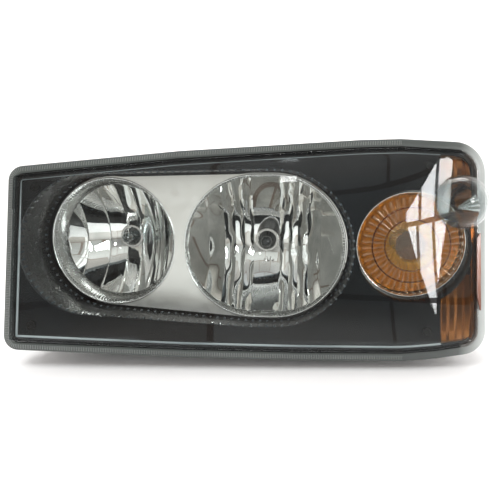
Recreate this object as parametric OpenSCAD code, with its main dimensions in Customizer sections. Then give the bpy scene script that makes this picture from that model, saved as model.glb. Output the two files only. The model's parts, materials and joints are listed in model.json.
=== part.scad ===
// Truck headlight assembly: twin halogen reflectors, amber turn signal and side marker.
// Frame: mm, +Z up, the lamp faces -Y. The origin is the centre of the four-stud
// pattern on the rear pads. Beam, studs and bulbs all lie along Y. The front lens
// leans back and sweeps back, so its parts are drawn flat inside on_lens().

/* [Lens] */
// Backward lean of the front lens in degrees
lens_rake = 8.5; // [7:0.5:9]
// Backward sweep of the outer (turn signal) end in degrees
lens_sweep = 5.5; // [4.5:0.5:6]
// Distance of the lens flange centre in front of the mounting pads
lens_front = 100; // [99:0.5:103]
// Wall of the clear lens
lens_wall = 2.4; // [2:0.1:3]

/* [High beam] */
// Radius of the high beam opening
hb_r = 65.5; // [62:0.5:66]
// Depth from trim plate to bulb hole
hb_depth = 58; // [55:1:60]

/* [Low beam] */
// Half width of the low beam opening
lb_a = 81; // [78:0.5:82]
// Half height of the low beam opening
lb_b = 72; // [69:0.5:73]
// Depth from trim plate to bulb hole
lb_depth = 67; // [64:1:69]

/* [Turn signal] */
// Radius of the amber turn signal lens
turn_r = 51; // [48:0.5:52]
// Number of radial flutes on the amber lens
turn_flutes = 42; // [24:2:48]

/* [Housing] */
// Wall of the moulded housing
shell_wall = 2.5; // [2:0.1:3]
// Width between the mounting studs
stud_dx = 350; // [340:1:354]
// Height between the mounting studs
stud_dz = 124; // [118:1:128]
// Thread radius of the mounting studs
stud_r = 3; // [2.5:0.5:4]

/* [Aiming] */
// Radius of the aiming screws
aim_screw_r = 2.5; // [2:0.1:3]
// Radius of the ball on each aiming nut
aim_ball_r = 6; // [5:0.1:6.2]

/* [Hidden] */
$fn = 64;
lens_y = -lens_front;
stud_head_r = 4.5;
pin_head_r = 5.5;
hb = [-139.5, 3.7];
lb = [17, 0];
turn = [160.5, 4];
marker = [198, 42];
plate_y = -78;
hb_skirt = 21;
lb_skirt = 12;
hb_in = hb_r - 6;
hb_hole_y = plate_y + hb_depth;
lb_hole_y = plate_y + lb_depth;
hb_f = hb_in * hb_in / (4 * (hb_depth - hb_skirt));
lb_f = lb_a * lb_a / (4 * (lb_depth - 6));
bulb_hole_r = 10;
skin = 2;
pivot = [-66, -30, 0];
vert_z = 66;
side_x = 104;
back_y = -9;
hb_tower_y = 12;
lb_tower_y = 20;
tower_r = 47;
tower_in = tower_r - shell_wall;
cap_gap = 0.35;
vert_at = [pivot[0], vert_z];
side_at = [side_x, 0];
pin_at = [-66, -62];
plug = [92, -62];
vents = [[92, 60], [-66, -30]];
// Bezel screws: x and z on the lens plane, then the reach of the web to the rim
bezel_screw_at = [[-198, 59.5, 0, 11], [-202, -70.5, 0, -13.5], [175.5, 80, 0, 14], [173, -77, 0, -16]];
bubble = [202.5, -1, 45];
bubble_r = 28;
bezel_end = 186;
turn_f = 18.5;
turn_back = -30;
turn_rim_y = -74;
marker_floor = -38;
fit = 0.08;

// ---- helpers ----

// Moves flat lens-frame shapes onto the leaning, swept lens plane.
module on_lens() {
    translate([0, lens_y, 0]) rotate([-lens_rake, 0, lens_sweep]) children();
}

// Extrudes an outline drawn in x and z from y0 back to y1.
module slab(y0, y1) {
    translate([0, y1, 0]) rotate([90, 0, 0]) linear_extrude(y1 - y0) children();
}

// Round bar along Y.
module rod(y0, y1, r, p = [0, 0]) {
    translate([p[0], y1, p[1]]) rotate([90, 0, 0]) cylinder(h = y1 - y0, r = r);
}

// Tube along Y.
module tube(y0, y1, r, r_in, p = [0, 0]) {
    difference() {
        rod(y0, y1, r, p);
        rod(y0 - 1, y1 + 1, r_in, p);
    }
}

// Turns a profile of [radius, y] points about a Y axis through p.
module spun(p) {
    translate([p[0], 0, p[1]]) rotate([-90, 0, 0]) rotate_extrude($fn = 96) children();
}

// Block between two corner points.
module block(a, b) {
    translate(a) cube(b - a);
}

// Front outline of the lamp, d mm inside its edge.
module outline(d = 0) {
    offset(r = -d) hull() {
        for (c = [[-211, 66.5, 14.5], [-216, -81, 14], [-62, 85.2, 10], [53, 91.9, 10],
                [110.5, 95.7, 10], [150, 96.7, 10], [200, 74, 30], [206.5, -76, 23.5],
                [182, -93.2, 10], [150, -95.7, 10], [53, -94.8, 10], [-60, -91.9, 10]])
            translate([c[0], c[1]]) circle(r = c[2], $fn = 48);
    }
}

// Ring of the front outline between two insets.
module outline_ring(d0, d1) {
    difference() {
        outline(d0);
        outline(d1);
    }
}

// Oval made of two circles joined by straight lines.
module oval(a, b) {
    for (s = [-1, 1]) translate([s * (a - b), 0]) circle(r = b, $fn = 96);
    square([2 * (a - b), 2 * b], center = true);
}

// Outline round both lamps, m mm outside their openings.
module twin(m) {
    hull() {
        translate(hb) circle(r = hb_r + m, $fn = 96);
        translate(lb) oval(lb_a + m, lb_b + m);
    }
}

// Keeps only what lies behind a lens-frame depth d.
module behind_lens(d) {
    intersection() {
        children();
        on_lens() block([-300, d, -200], [300, d + 260, 200]);
    }
}

// Curve of a reflector from its hole to radius r, moved outward by t.
function bowl(f, y_back, r0, r, t, n = 12) = [for (i = [0:n])
    let (q = r0 + (r - r0) * i / n) [q + t * q / sqrt(q * q + 4 * f * f),
        y_back - q * q / (4 * f) + t * 2 * f / sqrt(q * q + 4 * f * f)]];

function flip(a) = [for (i = [len(a) - 1:-1:0]) a[i]];

// ---- fixed body ----

module housing_shell() {
    color("#2b2d2f") difference() {
        union() {
            behind_lens(5) slab(-150, back_y) outline(9);
            on_lens() slab(1.4, 9) outline(0.6);
            rod(back_y - 1, hb_tower_y, tower_r, hb);
            rod(back_y - 1, lb_tower_y, tower_r, lb);
            rod(back_y - 1, back_y + 5, 23, turn);
            stud_places() rod(back_y - 1, 0, 9);
            rod(back_y - 1, 0, 8, pin_at);
            for (p = [vert_at, side_at]) rod(back_y - 1, -4, 8, p);
        }
        behind_lens(8) slab(-160, back_y - shell_wall) outline(9 + shell_wall);
        on_lens() slab(0, 9.5) outline(11.6);
        on_lens() slab(0, 4.6) outline_ring(6.5, 10.3);
        rod(-30, 40, tower_in, hb);
        rod(-30, 40, tower_in, lb);
        rod(-30, 10, 18, turn);
        rod(-30, 10, 15, marker);
        for (p = [vert_at, side_at]) rod(-30, 10, 4.5, p);
        stud_places() rod(-8, 1, stud_head_r);
        rod(-8, 1, pin_head_r, pin_at);
        block([plug[0] - 20.5, -30, plug[1] - 10.5], [plug[0] + 20.5, 0, plug[1] + 10.5]);
        for (p = vents) rod(-30, 0, 4, p);
    }
    color("#2b2d2f") {
        tube(marker_floor, back_y - 1, 17.5, 15, marker);
        tube(marker_floor, marker_floor + 2.5, 15.2, 9, marker);
        for (s = [-1, 1]) aim_lug(s);
        for (a = [0, 120, 240]) {
            cap_stop(hb, hb_tower_y, a);
            cap_stop(lb, lb_tower_y, a);
        }
        on_lens() for (c = bezel_screw_at) screw_post(c);
    }
}

// Repeats what follows at the four mounting studs.
module stud_places() {
    for (sx = [-1, 1], sz = [-1, 1])
        translate([sx * stud_dx / 2, 0, sz * stud_dz / 2]) children();
}

// Lug that carries one vertical trunnion of the aiming bracket.
module aim_lug(s) {
    difference() {
        translate([pivot[0], 0, s * 19]) block([-7, pivot[1] - 8, -2], [7, back_y - 1, 2]);
        translate([pivot[0], pivot[1], s * 19]) cylinder(h = 6, r = 4 + fit, center = true);
    }
}

// Rib on a lamp tower where a finger tab of the rear cap comes to rest.
module cap_stop(p, y, a) {
    translate([p[0], 0, p[1]]) rotate([0, a + 72, 0])
        block([tower_r - 1, y - 14, -2], [tower_r + 2.6, y - 6.4, 2]);
}

// Post that takes one bezel screw, webbed to the housing rim.
module screw_post(c) {
    difference() {
        union() {
            rod(3, 22, 4.5, [c[0], c[1]]);
            translate([c[0], 0, c[1]]) block([min(0, c[2]) - 1.5, 4.9, min(0, c[3]) - 1.5],
                [max(0, c[2]) + 1.5, 8.9, max(0, c[3]) + 1.5]);
        }
        rod(2, 23, 1.6, [c[0], c[1]]);
    }
}

module front_lens() {
    color("#dfe8ee", 0.35) on_lens() difference() {
        union() {
            slab(-1.6, 1) outline(0);
            slab(-11.4, 0) outline(10);
            slab(-14, -11) outline(12.5);
            intersection() {
                dome(0);
                union() {
                    block([150, -40, -20], [260, -11.2, 90]);
                    block([206, -40, -20], [260, 1, 90]);
                }
            }
        }
        slab(-9, 2) outline(10 + lens_wall);
        slab(-11.6, -8) outline(12.5 + lens_wall);
        dome(lens_wall);
    }
}

// Round bulge of the lens over the side marker, d mm inside its surface.
module dome(d) {
    translate(bubble) sphere(r = bubble_r - d);
}

module lens_seal() {
    color("#111214") on_lens() slab(1.1, 4.5) outline_ring(6.6, 10.2);
}

module bezel() {
    color("#15181a") difference() {
        union() {
            on_lens() slab(-4, -1.8) bezel_face(0);
            on_lens() slab(-4, 1.2) difference() {
                bezel_face(0);
                bezel_face(2.2);
            }
            intersection() {
                union() {
                    behind_lens(-3.9) slab(-150, plate_y - 1) twin(6.4);
                    behind_lens(-3.9) rod(-150, turn_rim_y, turn_r + 4, turn);
                }
                on_lens() union() {
                    slab(-10, 1.3) outline(12.9);
                    slab(1.2, 60) outline(11.9);
                }
            }
            on_lens() for (c = bezel_screw_at) rod(-2, 2.9, 4.5, [c[0], c[1]]);
        }
        slab(-170, -60) twin(3.8);
        rod(-170, -50, turn_r + 1.6, turn);
        on_lens() for (c = bezel_screw_at) rod(-20, 10, 2.1, [c[0], c[1]]);
        on_lens() intersection() {
            rod(-60, 60, bubble_r + 1.5, [bubble[0], bubble[2]]);
            block([194, -61, 0], [260, 61, 100]);
        }
    }
}

// Face of the bezel: it ends where the side marker panel begins.
module bezel_face(d) {
    intersection() {
        outline(13.2 + d);
        translate([-300, -150]) square([300 + bezel_end - d, 300]);
    }
}

module bezel_screws() {
    color("#1c1f22") on_lens() for (c = bezel_screw_at) {
        difference() {
            rod(-6, -4, 4, [c[0], c[1]]);
            rod(-7, -4.8, 2.4, [c[0], c[1]]);
        }
        rod(-4, 12, 1.5, [c[0], c[1]]);
    }
}

// ---- moving reflector unit ----

module trim_plate() {
    color("#c9ccce") difference() {
        slab(plate_y, plate_y + 1.8) twin(1);
        rod(plate_y - 1, plate_y + 3, hb_r + 0.05, hb);
        slab(plate_y - 1, plate_y + 3) translate(lb) oval(lb_a + 0.05, lb_b + 0.05);
    }
}

module high_beam_reflector() {
    inner = bowl(hb_f, hb_hole_y, bulb_hole_r, hb_in, 0);
    outer = bowl(hb_f, hb_hole_y, bulb_hole_r, hb_in, skin);
    y_in = plate_y + hb_skirt;
    color("#d9dde0") union() {
        spun(hb) polygon(concat(inner, [[hb_in, y_in], [hb_r, plate_y + 0.4],
            [hb_r, plate_y + 1.9], [hb_r + 2.2, plate_y + 1.9], [hb_r + 2.2, plate_y + 4],
            [hb_in + skin, y_in + 0.6]], flip(outer)));
        tube(hb_hole_y - 1, hb_hole_y + 14, 17, bulb_hole_r, hb);
        clip_seat(hb, hb_hole_y + 14);
    }
}

// Eyes and end stop of a bulb clip on the reflector neck that ends at y.
module clip_seat(p, y) {
    translate([p[0], y, p[1]]) {
        difference() {
            for (s = [-1, 1]) translate([s * 7, 0, -17.2]) block([-1.5, -8, -2.8], [1.5, 6.2, 2.2]);
            translate([0, 4.2, -17.5]) rotate([0, 90, 0]) cylinder(h = 30, r = 0.88, center = true);
        }
        block([-4, -8, 15.6], [4, -0.2, 19.6]);
        block([-4, -8, 17.7], [4, 6.2, 19.6]);
    }
}

module low_beam_reflector() {
    inner = bowl(lb_f, lb_hole_y, bulb_hole_r, lb_a + 6, 0);
    outer = bowl(lb_f, lb_hole_y, bulb_hole_r, lb_a + 6, skin);
    wall_y = lb_hole_y - lb_b * lb_b / (4 * lb_f) + 1;
    color("#d9dde0") {
        intersection() {
            spun(lb) polygon(concat(inner, flip(outer)));
            slab(plate_y + 2, 20) translate(lb) oval(lb_a + 2, lb_b + 2);
        }
        slab(plate_y + 1.9, plate_y + 6) translate(lb) difference() {
            oval(lb_a + 2.2, lb_b + 2.2);
            oval(lb_a, lb_b);
        }
        slab(plate_y + 5, wall_y) translate(lb) intersection() {
            difference() {
                oval(lb_a + 2, lb_b + 2);
                oval(lb_a, lb_b);
            }
            square([118, 200], center = true);
        }
        tube(lb_hole_y - 1, lb_hole_y + 14, 17, bulb_hole_r, lb);
        tube(lb_hole_y - 5, lb_hole_y, 14.5, 12.5, lb);
        clip_seat(lb, lb_hole_y + 14);
    }
}

module reflector_carrier() {
    color("#3a3d40") {
        difference() {
            slab(plate_y + 6.3, plate_y + 9.5) twin(4);
            rod(plate_y, plate_y + 20, hb_r + 2.6, hb);
            slab(plate_y, plate_y + 20) translate(lb) oval(lb_a + 2.6, lb_b + 2.6);
        }
        for (s = [-1, 1]) carrier_ear(s);
        difference() {
            union() {
                vertical_arm();
                side_arm();
                for (p = [vert_at, side_at]) rod(pivot[1] - 4, pivot[1] + 4, aim_ball_r + 2.4, p);
            }
            for (p = [vert_at, side_at]) {
                translate([p[0], pivot[1], p[1]]) sphere(r = aim_ball_r + 0.4, $fn = 48);
                rod(-60, -10, aim_ball_r - 1, p);
            }
        }
    }
}

// Ear that hangs the carrier on the cross pin of the aiming bracket.
module carrier_ear(s) {
    difference() {
        translate([pivot[0] + s * 7.5, 0, 0]) union() {
            for (t = [-1, 1]) translate([0, 0, t * 38])
                block([-1.5, plate_y + 9, -4], [1.5, -50, 4]);
            block([-1.5, -55, -42], [1.5, -49, 42]);
            block([-1.5, -50, -12], [1.5, pivot[1] + 7, 12]);
        }
        translate([pivot[0] + s * 7.5, pivot[1], 0]) rotate([0, 90, 0])
            cylinder(h = 6, r = 4 + fit, center = true);
    }
}

// Arm from the top of the carrier to the socket of the vertical aiming nut.
module vertical_arm() {
    block([pivot[0] - 5, plate_y + 7, vert_z + 7.4], [pivot[0] + 5, pivot[1] + 4, vert_z + 9.4]);
}

// Arm beside the low beam to the socket of the side aiming nut.
module side_arm() {
    block([lb[0] + lb_a + 2.8, plate_y + 7, -6], [lb[0] + lb_a + 5.4, pivot[1] + 4, 6]);
}

module aim_bracket() {
    color("#b9bcbf") {
        translate(pivot) cube([11, 14, 26], center = true);
        translate(pivot) cylinder(h = 46, r = 4, center = true);
        translate(pivot) rotate([0, 90, 0]) cylinder(h = 22, r = 4, center = true);
    }
}

module aim_screw(p) {
    rod(-44, -2, aim_screw_r, p);
    difference() {
        rod(-2, 4, 5.5, p);
        translate([p[0], 4, p[1]]) rotate([90, 0, 0]) cylinder(h = 4, r = 3, $fn = 6);
    }
}

// Ball-ended nut with its sleeve towards the front of the lamp.
module aim_nut(p) {
    bore = aim_screw_r + fit;
    turn_end = acos(bore / aim_ball_r);
    color("#e8e6dc") translate([0, pivot[1], 0]) spun(p)
        polygon(concat([[bore, -10], [aim_ball_r - 2, -10]],
            [for (i = [0:10]) let (a = -turn_end + (turn_end * 2) * i / 10)
                if (a > -48) [aim_ball_r * cos(a), aim_ball_r * sin(a)]]));
}

module vertical_aim_screw() {
    color("#d8d2b8") aim_screw(vert_at);
}

module vertical_aim_nut() {
    aim_nut(vert_at);
}

module side_aim_screw() {
    color("#d8d2b8") aim_screw(side_at);
}

module side_aim_nut() {
    aim_nut(side_at);
}

module aim_bushes() {
    color("#1c1f22") for (p = [vert_at, side_at]) {
        tube(-14, -3.9, 4.4, aim_screw_r + fit, p);
        tube(-3.9, -2.5, 7.5, aim_screw_r + fit, p);
    }
}

// ---- bulbs ----

// Halogen capsule whose base sits at y.
module bulb_glass(p, y) {
    color("#eef3f6", 0.5) {
        rod(y - 34, y - 0.1, 5.8, p);
        translate([p[0], y - 34, p[1]]) sphere(r = 5.8, $fn = 48);
    }
}

module bulb_base(p, y) {
    color("#a8abad") {
        rod(y, y + 3, 14, p);
        rod(y + 3, y + 8, 9, p);
        for (s = [-1, 1])
            translate([p[0] + s * 4, 0, p[1]]) block([-0.4, y + 8, -3], [0.4, y + 15, 3]);
    }
}

// Wire clip, hinged below the bulb base.
module bulb_clip(p, y) {
    color("#c5c8ca") translate([p[0], y + 4.2, p[1]]) {
        translate([0, 0, -17.5]) rotate([0, 90, 0]) cylinder(h = 24, r = 0.8, center = true, $fn = 24);
        for (s = [-1, 1]) translate([s * 11.2, 0, -17.5]) cylinder(h = 34, r = 0.8, $fn = 24);
        translate([0, 0, 16.5]) rotate([0, 90, 0]) cylinder(h = 24, r = 0.8, center = true, $fn = 24);
    }
}

module high_bulb_glass() {
    bulb_glass(hb, hb_hole_y + 14);
}

module high_bulb_base() {
    bulb_base(hb, hb_hole_y + 14);
}

module high_bulb_clip() {
    bulb_clip(hb, hb_hole_y + 14);
}

module low_bulb_glass() {
    bulb_glass(lb, lb_hole_y + 14);
}

module low_bulb_base() {
    bulb_base(lb, lb_hole_y + 14);
}

module low_bulb_clip() {
    bulb_clip(lb, lb_hole_y + 14);
}

// ---- rear caps ----

// Twist-lock cap over a lamp tower that ends at y.
module rear_cap(p, y) {
    color("#1f2123") {
        difference() {
            rod(y - 5.4, y + 14, tower_r + 3.2, p);
            rod(y - 6, y + 1.6, tower_r + cap_gap, p);
            rod(y + 1, y + 11.6, tower_r - 4, p);
        }
        translate([p[0], 0, p[1]]) for (a = [0:30:330]) rotate([0, a, 0])
            block([tower_r + 2, y - 3, -1.5], [tower_r + 4.6, y + 12, 1.5]);
        block([p[0] - 36, y + 13, p[1] - 3], [p[0] + 36, y + 20, p[1] + 3]);
    }
}

// Finger tabs are part of the cap; they meet the ribs on the tower.
module cap_tabs(p, y) {
    color("#1f2123") translate([p[0], 0, p[1]]) for (a = [0, 120, 240]) rotate([0, a, 0])
        block([tower_r + 0.8, y - 11, -3], [tower_r + 3.2, y - 5, 3]);
}

module high_rear_cap() {
    rear_cap(hb, hb_tower_y);
    cap_tabs(hb, hb_tower_y);
}

module low_rear_cap() {
    rear_cap(lb, lb_tower_y);
    cap_tabs(lb, lb_tower_y);
}

module high_cap_gasket() {
    color("#0e0f10") tube(hb_tower_y + 0.05, hb_tower_y + 1.2, tower_r - 0.2, tower_in, hb);
}

module low_cap_gasket() {
    color("#0e0f10") tube(lb_tower_y + 0.05, lb_tower_y + 1.2, tower_r - 0.2, tower_in, lb);
}

// ---- turn signal ----

module turn_reflector() {
    inner = bowl(turn_f, turn_back, 11, turn_r - 1, 0);
    outer = bowl(turn_f, turn_back, 11, turn_r - 1, 1.8);
    color("#cfd3d6") difference() {
        union() {
            spun(turn) polygon(concat(inner, [[turn_r - 1, turn_rim_y + 2.2],
                [turn_r + 2, turn_rim_y + 2.2], [turn_r + 2, turn_rim_y + 4],
                [turn_r + 0.8, turn_rim_y + 4]], flip(outer)));
            tube(turn_back - 1, back_y - shell_wall - 0.1, 20, 18, turn);
            tube(turn_back, turn_back + 2, 18.4, 11, turn);
        }
        rod(-90, -30, 17.2, marker);
    }
}

// Amber inner lens: a fluted dish with a plain round window over the bulb.
module turn_lens() {
    color("#e8820c", 0.8) {
        difference() {
            spun(turn) polygon([[0, turn_rim_y - 3], [14.5, turn_rim_y - 3], [15, turn_rim_y - 8],
                [30, turn_rim_y - 7], [turn_r - 3, turn_rim_y - 3.4], [turn_r, turn_rim_y - 0.5],
                [turn_r, turn_rim_y + 2], [turn_r - 2.4, turn_rim_y + 2],
                [turn_r - 4, turn_rim_y - 1], [30, turn_rim_y - 4.6], [17, turn_rim_y - 5.6],
                [16.6, turn_rim_y - 0.6], [0, turn_rim_y - 0.6]]);
            for (i = [0:turn_flutes - 1]) turn_flute(i * 360 / turn_flutes);
        }
    }
}

// One radial groove of the amber lens.
module turn_flute(a) {
    translate([turn[0], turn_rim_y - 8.5, turn[1]]) rotate([0, a, 0]) translate([17, 0, 0])
        rotate([0, 90, 8]) cylinder(h = 29.5, r = 1.1, $fn = 6);
}

module turn_bulb() {
    color("#f2a33a", 0.7) {
        rod(-48, -29, 5, turn);
        translate([turn[0], -48, turn[1]]) sphere(r = 9, $fn = 40);
    }
}

module turn_holder() {
    color("#6d7073") {
        rod(-29, -8, 10.4, turn);
        rod(-8, 0.6, 17.6, turn);
        rod(0.6, 3.4, 22, turn);
        block([turn[0] - 15, 3, turn[1] - 2.5], [turn[0] + 15, 11, turn[1] + 2.5]);
        block([turn[0] - 7, 3, turn[1] - 9], [turn[0] + 7, 8, turn[1] + 9]);
    }
}

module turn_gasket() {
    color("#0e0f10") tube(back_y + 5.05, back_y + 9.1, 21.4, 18.2, turn);
}

// ---- side marker ----

// Amber panel behind the lens end, kept between two heights.
module side_panel(z0, z1) {
    color("#a4501a", 0.9) difference() {
        on_lens() slab(1.5, 4) intersection() {
            outline(13.6);
            translate([bezel_end + 0.6, z0]) square([100, z1 - z0]);
        }
        rod(-150, -50, turn_r + 4.6, turn);
        on_lens() rod(-5, 8, 19, [bubble[0] - 0.5, bubble[2] + 1]);
    }
}

module side_reflector_upper() {
    side_panel(40, 150);
}

module side_reflector_lower() {
    side_panel(-150, -22);
}

module reflex_strip() {
    color("#d9822b", 0.9) on_lens() slab(-4.2, -1.7) intersection() {
        outline_ring(5.5, 9.6);
        translate([190, -57]) square([50, 73.5]);
    }
}

module marker_cup() {
    color("#cfd3d6") difference() {
        spun(marker) polygon([[9.2, marker_floor - 0.1], [9.2, marker_floor - 3],
            [15, marker_floor - 14], [15, marker_floor - 19], [16.4, marker_floor - 19],
            [16.4, marker_floor - 13.6], [13, marker_floor - 0.1]]);
    }
}

module marker_bulb() {
    color("#f2a33a", 0.7) {
        rod(marker_floor - 16, marker_floor - 4, 4, marker);
        translate([marker[0], marker_floor - 17, marker[1]]) sphere(r = 5, $fn = 40);
    }
}

module marker_holder() {
    color("#6d7073") {
        rod(marker_floor - 4, marker_floor + 4, 8.7, marker);
        rod(marker_floor + 4, marker_floor + 8, 13, marker);
        block([marker[0] - 9, marker_floor + 7, marker[1] - 2], [marker[0] + 9, marker_floor + 16, marker[1] + 2]);
    }
}

module marker_gasket() {
    color("#0e0f10") tube(marker_floor + 2.55, marker_floor + 3.6, 12.6, 9.2, marker);
}

// ---- fixings ----

module mounting_studs() {
    color("#b4b7ba") stud_places() {
        rod(-8, 0, stud_head_r);
        rod(-0.5, 22, stud_r);
    }
}

module locating_pin() {
    color("#b4b7ba") {
        rod(-8, 0, pin_head_r, pin_at);
        rod(-0.5, 10, 4, pin_at);
        spun(pin_at) polygon([[0, 9.9], [4, 9.9], [2.6, 12.5], [0, 12.5]]);
    }
}

module main_connector() {
    color("#26282a") translate([plug[0], 0, plug[1]]) difference() {
        union() {
            block([-20.4, -12, -10.4], [20.4, 14, 10.4]);
            block([-24, back_y, -14], [24, back_y + 2.4, 14]);
            block([-5, 2, 10], [5, 10, 13]);
        }
        block([-18, -4, -8], [18, 20, 8]);
        for (i = [-2.5:1:2.5]) block([i * 5.4 - 0.9, -20, -0.9], [i * 5.4 + 0.9, 0, 0.9]);
    }
}

module connector_pins() {
    color("#c9b26a") translate([plug[0], 0, plug[1]]) for (i = [-2.5:1:2.5])
        block([i * 5.4 - 0.85, -14, -0.85], [i * 5.4 + 0.85, 8, 0.85]);
}

module breather_vents() {
    color("#1c1f22") for (p = vents) {
        tube(-11.5, back_y + 1, 3.9, 2, p);
        difference() {
            rod(back_y + 0.02, back_y + 7, 7, p);
            rod(back_y - 1, back_y + 5, 5, p);
            for (a = [0, 90]) translate([p[0], back_y + 3, p[1]]) rotate([0, a, 0])
                cube([20, 2.4, 2.4], center = true);
        }
        tube(back_y + 0.02, back_y + 1, 5.2, 2, p);
    }
}

housing_shell();
front_lens();
lens_seal();
bezel();
bezel_screws();
trim_plate();
high_beam_reflector();
low_beam_reflector();
reflector_carrier();
aim_bracket();
vertical_aim_screw();
vertical_aim_nut();
side_aim_screw();
side_aim_nut();
aim_bushes();
high_bulb_glass();
high_bulb_base();
high_bulb_clip();
low_bulb_glass();
low_bulb_base();
low_bulb_clip();
high_rear_cap();
high_cap_gasket();
low_rear_cap();
low_cap_gasket();
turn_reflector();
turn_lens();
turn_bulb();
turn_holder();
turn_gasket();
side_reflector_upper();
side_reflector_lower();
reflex_strip();
marker_cup();
marker_bulb();
marker_holder();
marker_gasket();
mounting_studs();
locating_pin();
main_connector();
connector_pins();
breather_vents();
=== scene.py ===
# Truck headlight: builds what is seen over the engineering model and lights it in a small studio.
import json
import math

import bmesh
import bpy
from mathutils import Matrix, Vector, geometry


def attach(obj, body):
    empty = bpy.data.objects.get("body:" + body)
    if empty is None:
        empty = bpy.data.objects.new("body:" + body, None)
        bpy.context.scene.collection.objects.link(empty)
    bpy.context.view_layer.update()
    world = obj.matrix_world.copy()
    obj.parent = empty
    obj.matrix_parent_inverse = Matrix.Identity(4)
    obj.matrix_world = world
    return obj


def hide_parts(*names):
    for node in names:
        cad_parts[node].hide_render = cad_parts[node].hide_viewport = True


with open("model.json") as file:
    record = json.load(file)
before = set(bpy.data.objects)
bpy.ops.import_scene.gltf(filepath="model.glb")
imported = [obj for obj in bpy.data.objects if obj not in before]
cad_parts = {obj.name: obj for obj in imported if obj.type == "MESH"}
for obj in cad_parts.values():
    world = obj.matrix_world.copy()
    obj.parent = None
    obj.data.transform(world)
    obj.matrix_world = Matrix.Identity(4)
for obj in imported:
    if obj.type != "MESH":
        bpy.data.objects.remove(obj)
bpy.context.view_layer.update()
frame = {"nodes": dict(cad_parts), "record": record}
nodes = frame["nodes"]
scene = bpy.context.scene

mm = 0.001
lampPlace = {
    "rake": 8.5, "sweep": 5.5, "lensFront": 100.0,  # lean and sweep of the lens, degrees and mm
    "high": (-139.5, 3.7), "low": (17.0, 0.0), "turn": (160.5, 4.0),  # axes of the bowls, x and z
    "highR": 65.5, "lowB": 72.0, "lowHalf": 9.0,  # openings: the low beam's is two circles, lowHalf each side
    "plateY": -78.0, "highHoleY": -20.0, "lowHoleY": -11.0, "holeR": 10.0,
}
highAt, lowAt, turnAt = lampPlace["high"], lampPlace["low"], lampPlace["turn"]
plateY = lampPlace["plateY"]
lensTurn = (Matrix.Rotation(math.radians(lampPlace["sweep"]), 3, "Z")
            @ Matrix.Rotation(math.radians(-lampPlace["rake"]), 3, "X"))
# circles (x, z, radius) whose common hull is the front outline of the lamp
outlineCircles = [(-211, 66.5, 14.5), (-216, -81, 14), (-62, 85.2, 10), (53, 91.9, 10),
                  (110.5, 95.7, 10), (150, 96.7, 10), (200, 74, 30), (206.5, -76, 23.5),
                  (182, -93.2, 10), (150, -95.7, 10), (53, -94.8, 10), (-60, -91.9, 10)]


def onLens(x, d, z):  # across, behind the face and up in the lens frame, to metres in the frame
    v = lensTurn @ Vector((x, d, z))
    return Vector((v.x * mm, (v.y - lampPlace["lensFront"]) * mm, v.z * mm))


def inRow(x, y, z):  # millimetres to metres
    return Vector((x * mm, y * mm, z * mm))


def hullLoop(circles, count, inset=0.0):  # evenly spaced points round a hull of circles
    dense = 1440  # directions tried before the points are spread evenly
    raw = []
    for i in range(dense):
        a = 2 * math.pi * i / dense
        c = max(circles, key=lambda q: q[0] * math.cos(a) + q[1] * math.sin(a) + q[2])
        raw.append((c[0] + c[2] * math.cos(a), c[1] + c[2] * math.sin(a)))
    lengths = [0.0]
    for i in range(dense):
        p, q = raw[i], raw[(i + 1) % dense]
        lengths.append(lengths[-1] + math.hypot(q[0] - p[0], q[1] - p[1]))
    loop, k = [], 0
    for i in range(count):
        s = lengths[-1] * i / count
        while lengths[k + 1] < s:
            k += 1
        t = (s - lengths[k]) / max(lengths[k + 1] - lengths[k], 1e-9)
        p, q = raw[k], raw[(k + 1) % dense]
        loop.append((p[0] + (q[0] - p[0]) * t, p[1] + (q[1] - p[1]) * t))
    if inset:
        out = []
        for i in range(count):
            p, q = loop[i - 1], loop[(i + 1) % count]
            tx, tz = q[0] - p[0], q[1] - p[1]
            n = math.hypot(tx, tz)
            out.append((loop[i][0] - inset * tz / n, loop[i][1] + inset * tx / n))
        loop = out
    return loop


def makePiece(name, verts, faces, mats, smooth=True, matIndex=None):
    mesh = bpy.data.meshes.new(name)
    mesh.from_pydata([tuple(v) for v in verts], [], faces)
    mesh.validate()
    for m in mats:
        mesh.materials.append(m)
    if matIndex:
        for poly, i in zip(mesh.polygons, matIndex):
            poly.material_index = i
    for poly in mesh.polygons:
        poly.use_smooth = smooth
    obj = bpy.data.objects.new(name, mesh)
    scene.collection.objects.link(obj)
    return obj


def ringMesh(rings, capFirst=False, capLast=False):  # quads between equal closed rings
    n = len(rings[0])
    verts = [p for ring in rings for p in ring]
    faces = []
    for k in range(len(rings) - 1):
        for i in range(n):
            j = (i + 1) % n
            faces.append((k * n + i, k * n + j, (k + 1) * n + j, (k + 1) * n + i))
    if capFirst:
        faces.append(tuple(reversed(range(n))))
    if capLast:
        faces.append(tuple((len(rings) - 1) * n + i for i in range(n)))
    return verts, faces


def tidyMesh(obj, merge=1e-6, outward=True):
    bm = bmesh.new()
    bm.from_mesh(obj.data)
    bmesh.ops.remove_doubles(bm, verts=bm.verts, dist=merge)
    if outward:
        bmesh.ops.recalc_face_normals(bm, faces=bm.faces)
    bm.to_mesh(obj.data)
    bm.free()


def bake(obj):  # makes the modifiers of a piece plain mesh
    graph = bpy.context.evaluated_depsgraph_get()
    mesh = bpy.data.meshes.new_from_object(obj.evaluated_get(graph))
    obj.modifiers.clear()
    obj.data = mesh
    return obj


def thicken(obj, wall, offset=1.0):  # gives a sheet its wall, in millimetres
    m = obj.modifiers.new("wall", "SOLIDIFY")
    m.thickness, m.offset = wall * mm, offset
    return bake(obj)


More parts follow.
